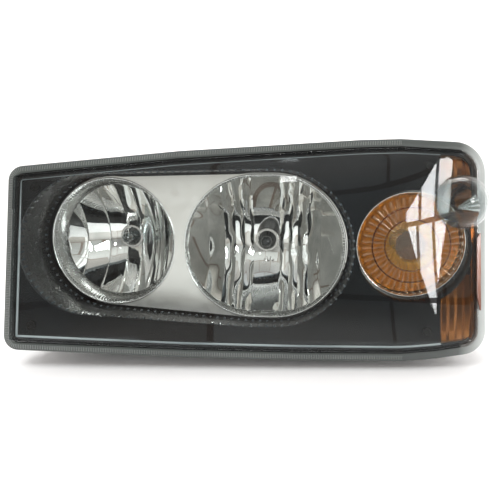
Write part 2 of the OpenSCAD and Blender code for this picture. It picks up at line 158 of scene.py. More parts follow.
def sharpen(obj, degrees=35):
    limit = math.radians(degrees)
    bm = bmesh.new()
    bm.from_mesh(obj.data)
    for e in bm.edges:
        e.smooth = len(e.link_faces) == 2 and e.calc_face_angle(0) < limit
    for f in bm.faces:
        f.smooth = True
    bm.to_mesh(obj.data)
    bm.free()


def toLinear(hexColour):
    out = []
    for i in (0, 2, 4):
        c = int(hexColour[i:i + 2], 16) / 255
        out.append(c / 12.92 if c <= 0.04045 else ((c + 0.055) / 1.055) ** 2.4)
    return (*out, 1.0)


def addNode(tree, kind, settings=None, **links):
    # one node with its settings and incoming links, which come from sockets or from a node's first output
    node = tree.nodes.new(kind)
    for key, value in (settings or {}).items():
        if key == "stops":
            for i, (at, colour) in enumerate(value):
                e = node.color_ramp.elements[i] if i < 2 else node.color_ramp.elements.new(at)
                e.position, e.color = at, colour
        elif isinstance(key, str) and hasattr(node, key):
            setattr(node, key, value)
        else:
            node.inputs[key].default_value = value
    for key, source in links.items():
        name = key.replace("_", " ")
        index = int(name[2:]) if name.startswith("in") and name[2:].isdigit() else name
        if isinstance(source, bpy.types.Node):
            source = source.outputs[0]
        tree.links.new(source, node.inputs[index])
    return node


def mathSteps(tree, sums, steps):  # each step: its result, the operation and what it takes, by name or value
    for name, operation, *taken in steps:
        links = {"in%d" % i: sums[v] for i, v in enumerate(taken) if isinstance(v, str)}
        fixed = {i: v for i, v in enumerate(taken) if not isinstance(v, str)}
        sums[name] = addNode(tree, "ShaderNodeMath", {"operation": operation, **fixed}, **links)


def newMaterial(name):
    mat = bpy.data.materials.new(name)
    mat.use_nodes = True
    tree = mat.node_tree
    tree.nodes.clear()
    return mat, tree, addNode(tree, "ShaderNodeOutputMaterial")


def grain(tree, perMetre, detail=3.0, stretch=(1, 1, 1)):  # noise on object coordinates
    coord = addNode(tree, "ShaderNodeTexCoord")
    place = addNode(tree, "ShaderNodeMapping", {"Scale": stretch}, Vector=coord.outputs["Object"])
    return addNode(tree, "ShaderNodeTexNoise", {"Scale": perMetre, "Detail": detail},
                   Vector=place).outputs["Fac"]


def grey(v):
    return (v, v, v, 1.0)


def solidFinish(name, low, high, rough, perMetre=900, bump=0.15, metallic=0.0, coat=0.0,
                slow=14, stretch=(1, 1, 1), shine=0.5):
    # opaque finish: slow change between two tints, fine relief and a roughness that follows it
    mat, tree, out = newMaterial(name)
    fine = grain(tree, perMetre, 3.0, stretch)
    tint = addNode(tree, "ShaderNodeValToRGB", {"stops": [(0.35, toLinear(low)), (0.65, toLinear(high))]},
                   Fac=grain(tree, slow, 2.0, stretch))
    dull = addNode(tree, "ShaderNodeMapRange",
                   {1: 0.3, 2: 0.7, 3: max(rough * 0.75, 0.01), 4: rough * 1.25}, Value=fine)
    relief = addNode(tree, "ShaderNodeBump", {"Strength": bump, "Distance": 0.0002}, Height=fine)
    shader = addNode(tree, "ShaderNodeBsdfPrincipled",
                     {"Metallic": metallic, "Coat Weight": coat, "Coat Roughness": 0.03,
                      "Specular IOR Level": shine}, Base_Color=tint, Roughness=dull, Normal=relief)
    tree.links.new(shader.outputs[0], out.inputs[0])
    return mat


def glossOver(tree, out, tint, normal, edge, power, rough, shineHex="ffffff", **relief):
    # see-through body under a mirror that grows at a glancing angle
    clear = addNode(tree, "ShaderNodeBsdfTransparent", Color=tint)
    facing = addNode(tree, "ShaderNodeLayerWeight", {"Blend": 0.5}).outputs["Facing"]
    steep = addNode(tree, "ShaderNodeMath", {"operation": "POWER", 1: power}, in0=facing)
    amount = addNode(tree, "ShaderNodeMapRange", {3: normal, 4: edge}, Value=steep)
    shine = addNode(tree, "ShaderNodeBsdfGlossy", {"Color": toLinear(shineHex), "Roughness": rough}, **relief)
    mix = addNode(tree, "ShaderNodeMixShader", in0=amount, in1=clear, in2=shine)
    tree.links.new(mix.outputs[0], out.inputs[0])


def clearFinish(name, tintHex, normal=0.04, edge=1.0, rough=0.01, perMetre=9, bump=0.02, power=5.0):
    # thin clear wall: seen straight through, and mirrors the room more at a glancing angle
    mat, tree, out = newMaterial(name)
    wave = grain(tree, perMetre, 1.0)
    tint = toLinear(tintHex)
    paler = tuple(0.06 + 0.94 * c for c in tint[:3]) + (1.0,)
    body = addNode(tree, "ShaderNodeValToRGB", {"stops": [(0.3, tint), (0.7, paler)]}, Fac=wave)
    relief = addNode(tree, "ShaderNodeBump", {"Strength": bump, "Distance": 0.001}, Height=wave)
    glossOver(tree, out, body, normal, edge, power, rough, Normal=relief)
    return mat


print("materials")
mats = {
    # moulded polypropylene, faintly grained: dull black with a soft sheen
    "housing": solidFinish("mouldedBlackPolypropylene", "15171a", "1f2225", 0.48, 1400, 0.35),
    # gloss polycarbonate straight from a polished tool: black with sharp dark reflections
    "bezel": solidFinish("glossBlackPolycarbonate", "090c0e", "0e1215", 0.05, 60, 0.004, shine=0.22),
    "well": solidFinish("satinBlackWell", "0a0d0f", "101417", 0.32, 500, 0.05),  # same resin, matt tool
    # painted highlight: the ribs of the black well are grey, standing in for the light their edges catch one
    # by one
    "wellRib": solidFinish("ribbedWellEdge", "343b40", "4c555a", 0.22, 500, 0.05, coat=0.3),
    # painted highlight: a thin silvery line on the bezel edge, standing in for a bright line of light along
    # it
    "bezelEdge": solidFinish("polishedBezelEdge", "7d8587", "a2a9aa", 0.16, 300, 0.05, coat=0.5),
    "seal": solidFinish("blackButylSealant", "040505", "090a0b", 0.45, 500, 0.3),  # dull rubbery bead
    # sooty black, almost no highlight
    "screw": solidFinish("blackOxideSteel", "040505", "0a0b0c", 0.5, 1200, 0.2, shine=0.15),
    # aluminium vapour on lacquered plastic: a near perfect mirror with the faint wave of its moulding
    "mirror": solidFinish("metallisedMirror", "d6d7d4", "ecebe8", 0.015, 26, 0.05, metallic=1.0, slow=30),
    # silvery grey that shows light and no image
    "mirrorDull": solidFinish("metallisedSkirt", "c9cac9", "dedfdd", 0.24, 120, 0.1, metallic=1.0),
    # the same coating over a spark-eroded face: bright, but the room shows only as soft patches
    "satin": solidFinish("satinMetallisedPlate", "efeee9", "f8f7f3", 0.46, 90, 0.004, metallic=0.85),
    # hard white glints on a thin rim
    "bright": solidFinish("polishedRim", "e8e9e8", "f6f6f5", 0.05, 60, 0.02, metallic=1.0),
    "carrier": solidFinish("glassFilledNylon", "222427", "303336", 0.6, 700, 0.4),  # fibre-mottled grey
    # cool grey metal with blurred streaks of light
    "zinc": solidFinish("zincPlatedSteel", "9a9e9f", "c0c3c2", 0.28, 400, 0.2, metallic=1.0, slow=60),
    "nylon": solidFinish("naturalNylon", "cdc9bb", "dedbd0", 0.45, 600, 0.2),  # ivory, slightly waxy
    # deep black with a fine grain
    "blackNylon": solidFinish("blackNylon", "0f1011", "181a1b", 0.4, 900, 0.25),
    # drawn quartz tube: bright rims, almost nothing in the middle
    "quartz": clearFinish("quartzGlass", "eef3f4", 0.09, 1.0, power=2.5, perMetre=60, bump=0.1),
    # hard-coated lens: a thin sharp image of the room over whatever is behind it
    "clearLens": clearFinish("hardCoatedPolycarbonate", "fbfdfd", 0.018),
    # knurled joint of the lens: scatters light, so the edge reads as a grey frosted band
    "tick": solidFinish("knurledLensJoint", "777c79", "8d928f", 0.30, 900, 0.15, coat=0.25),
    # upright wall of the lens, seen edge on: a dimmed copy of the lens finish, painted shade, so little comes
    # through and little comes back
    "lensWall": clearFinish("lensWallPolycarbonate", "b9c0c2", 0.015, 0.22, power=4.0),
    # swept end of the lens: pale and milky where the wall turns round the corner
    "lensEnd": clearFinish("milkyLensEnd", "dcd6d0", 0.10, 0.6, rough=0.15, power=2.2),
    # coarse leather-like black, no clear highlight
    "capPlastic": solidFinish("grainedPolypropylene", "111213", "1a1c1d", 0.55, 1600, 0.5),
    # flat black that swallows light
    "rubber": solidFinish("softBlackRubber", "090a0a", "111112", 0.7, 800, 0.4),
    # thick step in the moulding, coloured dark brown: painted shade where the steps look dark
    "stepShade": solidFinish("amberStepRing", "3a1804", "542608", 0.15, 200, 0.05, coat=0.5),
    # clear orange tube with bright sides
    "amberBulb": clearFinish("amberBulbGlass", "f6b55c", 0.10, 1.0, rough=0.03, power=3.0),
    # plain mid grey, a little waxy
    "holder": solidFinish("greyNylon", "4d5053", "606366", 0.5, 800, 0.3),
    # amber lacquer over the metallised panel: brown in shade, orange where it catches light
    "amberPanel": solidFinish("amberMetallisedPanel", "5c3216", "8a5a30", 0.10, 20, 0.3,
                              metallic=1.0, slow=40, stretch=(1, 1, 0.15)),
    # brick orange, scored with fine upright prisms
    "reflex": solidFinish("paleAmberReflexPrisms", "6e4030", "94604c", 0.16, 420, 0.6, coat=0.3,
                          slow=90, stretch=(1, 1, 0.1)),
    # pale yellow metal, soft shine
    "brass": solidFinish("tinnedBrass", "b9a978", "d1c59b", 0.22, 400, 0.2, metallic=1.0),
    # steel bulb base with dulled glints, darkened as painted shade of the hole it sits down in
    "bulbMetal": solidFinish("pressedSteelBase", "4c4e4e", "747675", 0.3, 500, 0.2, metallic=1.0),
    # baked black coating on the glass tip: glossy, with one hard highlight
    "blackTip": solidFinish("blackTipCoating", "0c0f10", "161b1d", 0.12, 700, 0.1, coat=0.6),
    # warm grey wire, matt
    "filament": solidFinish("tungstenWire", "7d7a74", "a39f96", 0.3, 400, 0.1, metallic=1.0),
}


def amberFinish():
    # dyed acrylic: deep orange in the flutes and golden in a ring round the middle; browner in the very
    # middle, which is painted shade of the hole there
    mat, tree, out = newMaterial("amberAcrylic")
    coord = addNode(tree, "ShaderNodeTexCoord")
    centre = inRow(turnAt[0], plateY, turnAt[1])
    fromAxis = addNode(tree, "ShaderNodeVectorMath", {"operation": "SUBTRACT", 1: centre},
                       in0=coord.outputs["Object"])
    flat = addNode(tree, "ShaderNodeVectorMath", {"operation": "MULTIPLY", 1: (1, 0, 1)}, in0=fromAxis)
    radius = addNode(tree, "ShaderNodeVectorMath", {"operation": "LENGTH"}, in0=flat)
    share = addNode(tree, "ShaderNodeMapRange", {2: 0.051}, Value=radius.outputs["Value"])
    tint = addNode(tree, "ShaderNodeValToRGB", {"stops": [
        (0.0, toLinear("b8988a")), (0.27, toLinear("b08a70")), (0.31, toLinear("fff0a0")),
        (0.48, toLinear("ffe890")), (0.54, toLinear("fddc98")), (1.0, toLinear("fcdda4"))]}, Fac=share)
    glossOver(tree, out, tint, 0.11, 0.95, 2.2, 0.02, "fff0dd")
    return mat


def bandFinish():
    # frosted joint of the lens: dark over the black flange, lighter towards the swept end, which is painted
    # light for the light that comes in there
    mat, tree, out = newMaterial("frostedLensJoint")
    coord = addNode(tree, "ShaderNodeTexCoord")
    part = addNode(tree, "ShaderNodeSeparateXYZ", Vector=coord.outputs["Object"])
    wave = grain(tree, 30, 2.0, (0.2, 1, 1))
    wobble = addNode(tree, "ShaderNodeMath", {"operation": "MULTIPLY_ADD", 1: 0.012}, in0=wave,
                     in2=part.outputs["X"])
    share = addNode(tree, "ShaderNodeMapRange", {1: 0.196, 2: 0.238}, Value=wobble)
    tint = addNode(tree, "ShaderNodeValToRGB", {"stops": [
        (0.0, toLinear("454a48")), (0.35, toLinear("505553")), (0.62, toLinear("8d9290")),
        (1.0, toLinear("bcc1c0"))]}, Fac=share)
    shader = addNode(tree, "ShaderNodeBsdfPrincipled", {"Roughness": 0.3, "Coat Weight": 0.2},
                     Base_Color=tint)
    tree.links.new(shader.outputs[0], out.inputs[0])
    return mat


mats["lensBand"] = bandFinish()
mats["amberLens"] = amberFinish()
slotLooks = {  # the record's material slots and the finish each one shows
    "black_pp": "housing", "clear_lens": "clearLens", "sealant": "seal", "bezel_black": "bezel",
    "dark_screws": "screw", "satin_plate": "satin", "mirror_bright": "mirror",
    "carrier_grey": "carrier", "zinc_steel": "zinc", "natural_nylon": "nylon",
    "black_nylon": "blackNylon", "bulb_glass": "quartz", "bulb_metal": "bulbMetal",
    "spring_wire": "zinc", "cap_black": "capPlastic", "gasket_rubber": "rubber",
    "mirror_dull": "mirrorDull", "amber_clear": "amberLens", "amber_bulb": "amberBulb",
    "holder_grey": "holder", "amber_panel": "amberPanel", "reflex_amber": "reflex",
    "tinned_brass": "brass",
}
for part in frame["record"]["subparts"]:
    node = nodes[part["node"]]
    look = mats[slotLooks[part["material_slot"]]]
    if not node.material_slots:
        node.data.materials.append(look)
    for s in node.material_slots:
        s.material = look


def place(obj, body, slotName, replaced=()):  # rides a body and may stand for CAD nodes; slotName is not used
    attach(obj, body)
    if replaced:
        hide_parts(*replaced)
    return obj


print("lens")
lensShape = {
    "points": 480, "wall": 2.2, "crown": 2.6, "halfHeight": 100.0, "halfWidth": 232.0,
    # inset from the outline and depth, from the joint over the front edge
    "profile": [(0.0, 1.0), (0.0, -0.7), (0.7, -1.3), (6.6, -2.3), (7.4, -2.1), (9.7, -2.1),
                (10.0, -2.6), (10.3, -4.0), (10.7, -11.0), (11.1, -12.6), (11.9, -13.6), (13.2, -14.0)],
    "grid": 7.0, "endFrom": 206.0, "shadedAbove": 40.0, "fallFrom": 120.0, "fallTo": 219.0, "fall": 0.48,
}


def frontDepth(x, z, depth):  # shallow crown, and a fall towards the swept outer end
    share = min(max((-depth - 1.95) / 12.05, 0), 1)
    crown = (lensShape["crown"] * (1 - (z / lensShape["halfHeight"]) ** 2)
             * (1 - (x / lensShape["halfWidth"]) ** 2))
    t = max((x - lensShape["fallFrom"]) / (lensShape["fallTo"] - lensShape["fallFrom"]), 0)
    return depth - share * crown + share * (12.0 + crown) * lensShape["fall"] * t * t


def lensMesh():
    n = lensShape["points"]
    loops = [(hullLoop(outlineCircles, n, inset), depth) for inset, depth in lensShape["profile"]]
    edge = loops[-1][0]
    flat = [Vector(p) for p in edge]
    step = lensShape["grid"]
    keep = hullLoop(outlineCircles, n, lensShape["profile"][-1][0])
    for i in range(int(440 / step)):
        for j in range(int(200 / step)):
            x, z = -218 + i * step, -98 + j * step  # a grid point stays at least 3 mm from the edge
            if all((q[0] - p[0]) * (z - p[1]) - (q[1] - p[1]) * (x - p[0]) > 3.0 * math.dist(p, q)
                   for p, q in zip(keep[::8], keep[8::8] + keep[:1])):
                flat.append(Vector((x, z)))
    border = [(i, (i + 1) % n) for i in range(n)]
    points, _, tris, *_ = geometry.delaunay_2d_cdt(flat, border, [], 1, 1e-4)
    verts, faces = ringMesh([[onLens(p[0], frontDepth(p[0], p[1], depth), p[1]) for p in loop]
                             for loop, depth in loops])
    spare = len(verts)
    verts += [onLens(p.x, frontDepth(p.x, p.y, -14.0), p.y) for p in points]
    return verts, faces + [tuple(spare + k for k in t) for t in tris]


verts, faces = lensMesh()


def lensLook(i):  # which of the lens finishes a face takes, by its ring and by how far out it is
    ring = i // lensShape["points"]
    if ring > 10:
        return 0
    x = sum(verts[k].x for k in faces[i]) / len(faces[i])
    z = sum(verts[k].z for k in faces[i]) / len(faces[i])
    if ring < 4:
        return 1
    if x > lensShape["endFrom"] * mm:
        return 3 if ring < 8 else 0
    # above shadedAbove the fillet takes the dimmed wall finish: painted shade on the top of the lens
    return 2 if ring < 8 or z > lensShape["shadedAbove"] * mm else 0


frontLens = makePiece("frontLens", verts, faces,
                      [mats[look] for look in ("clearLens", "lensBand", "lensWall", "lensEnd")],
                      matIndex=[lensLook(i) for i in range(len(faces))])
tidyMesh(frontLens, 2e-5, outward=True)
thicken(frontLens, lensShape["wall"], -1.0)
place(frontLens, "housing", "clear_lens", ["front_lens"])

sealShape = {"outer": 6.9, "inner": 12.4, "front": 0.45, "back": 1.05}
outerLoop = hullLoop(outlineCircles, 480, sealShape["outer"])
innerLoop = hullLoop(outlineCircles, 480, sealShape["inner"])
sealRings = [[onLens(x, depth, z) for x, z in loop] for loop, depth in (
    (outerLoop, sealShape["back"]), (outerLoop, sealShape["front"]), (innerLoop, sealShape["front"]),
    (innerLoop, sealShape["back"]), (outerLoop, sealShape["back"]))]
sealLine = makePiece("sealLine", *ringMesh(sealRings), [mats["seal"]], smooth=False)
tidyMesh(sealLine)
place(sealLine, "housing", "sealant")


def newTree(name, inputs):  # node group with named inputs that gives back one geometry
    tree = bpy.data.node_groups.new(name, "GeometryNodeTree")
    for label, kind, value in (("Geometry", "Geometry", None), *inputs, ("Finish", "Material", None)):
        socket = tree.interface.new_socket(label, in_out="INPUT", socket_type="NodeSocket" + kind)
        if value is not None:
            socket.default_value = value
    tree.interface.new_socket("Geometry", in_out="OUTPUT", socket_type="NodeSocketGeometry")
    return tree, addNode(tree, "NodeGroupInput").outputs


def endTree(tree, given, shape):  # makes instances real, sets the finish and closes the group
    real = addNode(tree, "GeometryNodeRealizeInstances", Geometry=shape)
    done = addNode(tree, "GeometryNodeSetMaterial", Geometry=real, Material=given["Finish"])
    addNode(tree, "NodeGroupOutput", Geometry=done)
    return tree


def ribTree():  # blocks along a loop or path, each square to it and to a given axis
    tree, given = newTree("ribsAlongLoop", (("Count", "Int", 100), ("Size", "Vector", (0.001, 0.001, 0.001)),
                                            ("Axis", "Vector", (0, 1, 0))))
    curve = addNode(tree, "GeometryNodeMeshToCurve", Mesh=given["Geometry"])
    even = addNode(tree, "GeometryNodeResampleCurve", Curve=curve, Count=given["Count"])
    stand = addNode(tree, "FunctionNodeAlignRotationToVector", {"axis": "Y"}, Vector=given["Axis"])
    along = addNode(tree, "GeometryNodeInputTangent")
    turned = addNode(tree, "FunctionNodeAlignRotationToVector", {"axis": "X", "pivot_axis": "Y"},
                     Rotation=stand, Vector=along)
    block = addNode(tree, "GeometryNodeMeshCube", Size=given["Size"])
    many = addNode(tree, "GeometryNodeInstanceOnPoints", Points=even, Instance=block, Rotation=turned)
    return endTree(tree, given, many)


def runTree(obj, tree, values):  # runs a node tree on the piece and keeps the plain mesh
    m = obj.modifiers.new("nodes", "NODES")
    m.node_group = tree
    for item in tree.interface.items_tree:
        if item.in_out == "INPUT" and item.name in values:
            m[item.identifier] = values[item.name]
    obj.update_tag()
    return bake(obj)


ribs = ribTree()


def loopPiece(name, points, closed=True):
    mesh = bpy.data.meshes.new(name)
    n = len(points)
    mesh.from_pydata(points, [(i, (i + 1) % n) for i in range(n if closed else n - 1)], [])
    obj = bpy.data.objects.new(name, mesh)
    scene.collection.objects.link(obj)
    return obj


lensAxis = tuple(lensTurn @ Vector((0, 1, 0)))
tickShape = {"count": 560, "inset": 4.0, "size": (0.42, 0.4, 4.4), "end": 150.0}
tickLoop = hullLoop(outlineCircles, 900, tickShape["inset"])
first = next(k for k in range(900) if tickLoop[k - 1][0] >= tickShape["end"] > tickLoop[k][0])
tickLoop = [p for p in tickLoop[first:] + tickLoop[:first] if p[0] < tickShape["end"]]
flangeTicks = loopPiece("flangeTicks", [onLens(p[0], -1.95, p[1]) for p in tickLoop], closed=False)
runTree(flangeTicks, ribs, {"Count": tickShape["count"], "Axis": lensAxis, "Finish": mats["tick"],
                            "Size": tuple(v * mm for v in tickShape["size"])})
place(flangeTicks, "housing", "clear_lens")

# clear bulge: nearly nothing face on, a bright rim where it turns away
mats["dome"] = clearFinish("domeWallPolycarbonate", "eef1f1", 0.02, 0.9, rough=0.01, power=3.4)
bubble = {"x": 202.5, "d": -1.0, "z": 45.0, "r": 28.0, "wall": 2.0, "down": 96.0,
          "around": 96, "steps": 34, "flush": -13.0, "joint": 0.8, "edge": 206.0}
rings = []
for k in range(1, bubble["steps"] + 1):
    a = math.radians(bubble["down"] * k / bubble["steps"])
    ring = []
    for i in range(bubble["around"]):
        t = 2 * math.pi * i / bubble["around"]
        d = bubble["d"] - bubble["r"] * math.cos(a)
        x = bubble["x"] + bubble["r"] * math.sin(a) * math.cos(t)
        limit = bubble["flush"] if x < bubble["edge"] else bubble["joint"]
        if d > limit:  # the bulge stops at the face of the lens, and at the joint on the swept side
            wide = math.sqrt(1 - ((limit - bubble["d"]) / bubble["r"]) ** 2)
            x, d = bubble["x"] + bubble["r"] * wide * math.cos(t), limit
        else:
            wide = math.sin(a)
        ring.append(onLens(x, d, bubble["z"] + bubble["r"] * wide * math.sin(t)))
    rings.append(ring)
lensBubble = makePiece("lensBubble", *ringMesh(rings, capFirst=True), [mats["dome"]])
tidyMesh(lensBubble)
thicken(lensBubble, bubble["wall"], -1.0)
place(lensBubble, "housing", "clear_lens")

print("bezel")
bezelShape = {
    "face": -4.0, "thick": 2.2, "inset": 13.4, "end": 186.0, "ribs": 108, "gap": 3.8,
    "screwHole": 2.1, "screwSeat": 4.6, "wall": 1.2,
    "mouth": [(-147, 6, 67.5), (6, 2, 74.5), (30, 2, 74.5)], "turnMouth": 54.5,
    "screws": [(-198, 59.5), (-202, -70.5), (175.5, 80), (173, -77)],
}


def prism(loop, front, back, put=onLens):  # closed prism between two depths
    ends = [[put(x, depth, z) for x, z in loop] for depth in (front, back)]
    obj = makePiece("prism", *ringMesh(ends, True, True), [], smooth=False)
    tidyMesh(obj)
    return obj


def cut(obj, *tools):
    for tool in tools:
        m = obj.modifiers.new("cut", "BOOLEAN")
        m.operation = "DIFFERENCE"
        m.solver = "EXACT"
        m.object = tool
        bake(obj)
        bpy.data.objects.remove(tool)
    return obj


def circleLoop(x, z, r, n=96):
    return [(x + r * math.cos(2 * math.pi * i / n), z + r * math.sin(2 * math.pi * i / n)) for i in range(n)]


faceDepth = bezelShape["face"]
faceLoop = hullLoop(outlineCircles, 360, bezelShape["inset"])
bezelFace = prism(faceLoop, faceDepth, faceDepth + bezelShape["thick"])
bezelFace.name = bezelFace.data.name = "bezelFace"
bezelFace.data.materials.append(mats["bezel"])
deep = 40.0  # how far the cutters reach past the face
beyondEnd = [(bezelShape["end"], -200), (400, -200), (400, 200), (bezelShape["end"], 200)]
cut(bezelFace, prism(beyondEnd, -deep, deep), prism(hullLoop(bezelShape["mouth"], 240), -deep, deep),
    prism(circleLoop(*turnAt, bezelShape["turnMouth"]), -150, -60, inRow))
for r, sides, front, end in ((bezelShape["screwHole"], 24, -deep, deep),
                             (bezelShape["screwSeat"], 32, faceDepth - 3, faceDepth + 1.2)):
    cut(bezelFace, *[prism(circleLoop(*at, r, sides), front, end) for at in bezelShape["screws"]])
sharpen(bezelFace)
place(bezelFace, "housing", "bezel_black", ["bezel"])

around = 600
edgeLoop = hullLoop(outlineCircles, around, bezelShape["inset"] + 0.7)
for ease in range(2):  # eases the corners of the edge to the round of the lens
    edgeLoop = [tuple(sum(edgeLoop[(k + j) % around][c] for j in range(-4, 5)) / 9 for c in (0, 1))
                for k in range(around)]
inside = [p[0] < bezelShape["end"] for p in edgeLoop]
start = next(k for k in range(around) if inside[k] and not inside[k - 1])
edgePath = [edgeLoop[(start + k) % around] for k in range(sum(inside))]


def beadAlong(name, path, depth, radius, look, sides=8):  # round bead on an open path of changing radius
    rings = []
    last = len(path) - 1
    for i, p in enumerate(path):
        before, after = path[max(i - 1, 0)], path[min(i + 1, last)]
        tx, tz = after[0] - before[0], after[1] - before[1]
        span = math.hypot(tx, tz)
        r = radius(i / last)
        ring = []
        for k in range(sides):
            a = 2 * math.pi * k / sides
            ring.append(onLens(p[0] + tz / span * r * math.cos(a), depth + r * math.sin(a),
                               p[1] - tx / span * r * math.cos(a)))
        rings.append(ring)
    obj = makePiece(name, *ringMesh(rings, True, True), [look])
    tidyMesh(obj)
    return obj


# the painted highlight line runs from the top right, round the left, to the bottom right, and is fullest low
# down
place(beadAlong("bezelEdge", edgePath, faceDepth, lambda t: 0.35 + 0.75 * min(max((t - 0.40) * 12, 0), 1),
                mats["bezelEdge"]), "housing", "bezel_black")

# well round both lamps: finely ribbed wall from the mouth in the bezel to the trim plate
gap = bezelShape["gap"]


def lowCircles(radius):  # the two circles whose hull is the outline of the low beam
    return [(lowAt[0] + side, lowAt[1], radius) for side in (-lampPlace["lowHalf"], lampPlace["lowHalf"])]


floorOfWell = [(*highAt, lampPlace["highR"] + gap), *lowCircles(lampPlace["lowB"] + gap)]
count = 480
mouthLoop = hullLoop(bezelShape["mouth"], count)
floorLoop = hullLoop(floorOfWell, count)


def wellRing(t):  # ring on the well's wall, from the mouth at 0 to the floor at 1
    return [onLens(x, faceDepth, z).lerp(inRow(lowX, plateY - 1.0, lowZ), t)
            for (x, z), (lowX, lowZ) in zip(mouthLoop, floorLoop)]


lampWell = makePiece("lampWell", *ringMesh([wellRing(t) for t in (0, 0.1, 0.3, 0.6, 1.0)]), [mats["well"]])
tidyMesh(lampWell)
thicken(lampWell, bezelShape["wall"])
place(lampWell, "housing", "bezel_black")
# the ribs take the grey finish that is painted highlight
for k, (t, long) in enumerate(((0.10, 5.0), (0.90, 3.4))):
    wellRibs = loopPiece("wellRibs%d" % (k + 1), wellRing(t))
    runTree(wellRibs, ribs, {"Count": bezelShape["ribs"], "Axis": (0, 1, 0), "Finish": mats["wellRib"],
                             "Size": (2.0 * mm, long * mm, 1.5 * mm)})
    place(wellRibs, "housing", "bezel_black")

turnRings = []
for y, shrink in ((None, 0.0), (-82, 1.2), (-74, 1.6)):
    ring = []
    for x, z in circleLoop(*turnAt, bezelShape["turnMouth"] - shrink, 144):
        if y is None:  # meets the bezel face, which leans with the lens
            n = lensTurn @ Vector((0, 1, 0))
            ring.append(inRow(x, -lampPlace["lensFront"] + (faceDepth - n.x * x - n.z * z) / n.y, z))
        else:
            ring.append(inRow(x, y, z))
    turnRings.append(ring)
turnWell = makePiece("turnWell", *ringMesh(turnRings), [mats["bezel"]])
tidyMesh(turnWell)
thicken(turnWell, bezelShape["wall"])
place(turnWell, "housing", "bezel_black")

print("reflectors")
highBowl = {
    "f": 23.5, "r": 59.3, "rows": 60, "lift": 2.2, "strips": [-59.3, -44, -23, -5, 11, 26, 36, 45, 59.3],
    "bulge": [0.8, 0.9, -0.5, 0.6, 0.9, -0.5, 0.5, 0.9],
    "tilt": [0.0, 0.05, -0.06, 0.05, -0.04, 0.06, -0.05, 0.03], "skirtRibs": 130,
}
lowBowl = {
    "f": 26.9, "a": 79.6, "b": 70.6, "rows": 72, "lift": 2.6,
    "strips": [-79.6, -62, -46, -35, -25, -15, 15, 25, 35, 46, 58, 79.6],
    "bulge": [0.3, 0.6, 1.0, 1.1, 1.0, 0.2, 1.0, 1.1, 1.0, 0.7, 0.3],
    "waves": [0, 0.5, 1, 1, 1, 0, 1, 1, 1, 0.5, 0], "wave": 0.55, "waveLength": 38.0, "skirtRibs": 170,
}
collarClear = 1.2  # the facets stop this far outside the bulb hole


def facetBowl(name, centre, holeY, shape, halfHeight):
    # vertical mirror strips on a paraboloid, each bulged on its own so they glint separately
    verts, faces = [], []
    edges = shape["strips"]
    tilts = shape.get("tilt", [0.0] * len(edges))
    waves = shape.get("waves", [0.0] * len(edges))
    rows = shape["rows"]
    previous = None
    for s, (left, right) in enumerate(zip(edges, edges[1:])):
        columns = max(int((right - left) / 1.6), 4)
        for c in range(columns + 1):
            share = c / columns
            x = left + (right - left) * share
            h = halfHeight(x)
            hump = 4 * share * (1 - share)
            start = len(verts)
            for r in range(rows + 1):
                z = -h + 2 * h * r / rows
                y = holeY - shape["lift"] - (x * x + z * z) / (4 * shape["f"])
                y -= shape["bulge"][s] * hump + tilts[s] * (x - (left + right) / 2)
                if waves[s]:
                    swing = math.sin(2 * math.pi * z / shape["waveLength"] + s * 1.9)
                    y -= shape["wave"] * waves[s] * swing * hump
                verts.append(inRow(centre[0] + x, y, centre[1] + z))
            for r in range(rows if previous is not None else 0):
                quad = (previous + r, start + r, start + r + 1, previous + r + 1)
                mid = sum((verts[k] for k in quad), Vector()) / 4 / mm
                if c == 0:  # step between two strips, left out where they meet flush
                    wanted = (verts[quad[0]] - verts[quad[1]]).length > 1e-6
                else:
                    hole = lampPlace["holeR"] + collarClear
                    wanted = math.hypot(mid.x - centre[0], mid.z - centre[1]) > hole
                if wanted:
                    faces.append(quad)
            previous = start
    obj = makePiece(name, verts, faces, [mats["mirror"]])
    tidyMesh(obj, 1e-7, outward=False)
    sharpen(obj, 12)
    thicken(obj, 0.6)
    place(obj, "reflector_unit", "mirror_bright")


def lowHeight(x):
    beyond = max(abs(x) - (lowBowl["a"] - lowBowl["b"]), 0)
    return math.sqrt(max(lowBowl["b"] ** 2 - beyond * beyond, 0.01))


facetBowl("highFacets", highAt, lampPlace["highHoleY"], highBowl,
          lambda x: math.sqrt(max(highBowl["r"] ** 2 - x * x, 0.01)))
facetBowl("lowFacets", lowAt, lampPlace["lowHoleY"], lowBowl, lowHeight)


def plainSkirt(name, loops):  # collar between rim and mirror
    rings = [[inRow(p[0], y(p) if callable(y) else y, p[1]) for p in loop] for loop, y in loops]
    obj = makePiece(name, *ringMesh(rings), [mats["mirrorDull"]])
    tidyMesh(obj)
    sharpen(obj, 25)
    thicken(obj, 0.5)
    place(obj, "reflector_unit", "mirror_dull")


def skirtRibs(name, points, number, size):
    obj = loopPiece(name, points)
    runTree(obj, ribs, {"Count": number, "Axis": (0, 1, 0), "Finish": mats["mirrorDull"],
                        "Size": tuple(v * mm for v in size)})
    place(obj, "reflector_unit", "mirror_dull")


plainSkirt("highSkirt", [(circleLoop(*highAt, highBowl["r"] + grow, 240), plateY + depth) for grow, depth in (
    (5.6, 0.3), (5.2, 1.2), (4.6, 2.0), (0.9, 15.0), (-0.3, 21.5))])
skirtLoop = circleLoop(*highAt, highBowl["r"] + 3.5, 240)
skirtRibs("highSkirtRibs", [inRow(x, plateY + 6.0, z) for x, z in skirtLoop],
          highBowl["skirtRibs"], (1.1, 8.5, 1.0))


def lowLoop(margin, number):
    return hullLoop(lowCircles(lowBowl["b"] + margin), number)


def bowlDepth(x, z):  # depth of the low beam's facets at a place measured from its axis
    return lampPlace["lowHoleY"] - lowBowl["lift"] - (x * x + z * z) / (4 * lowBowl["f"])


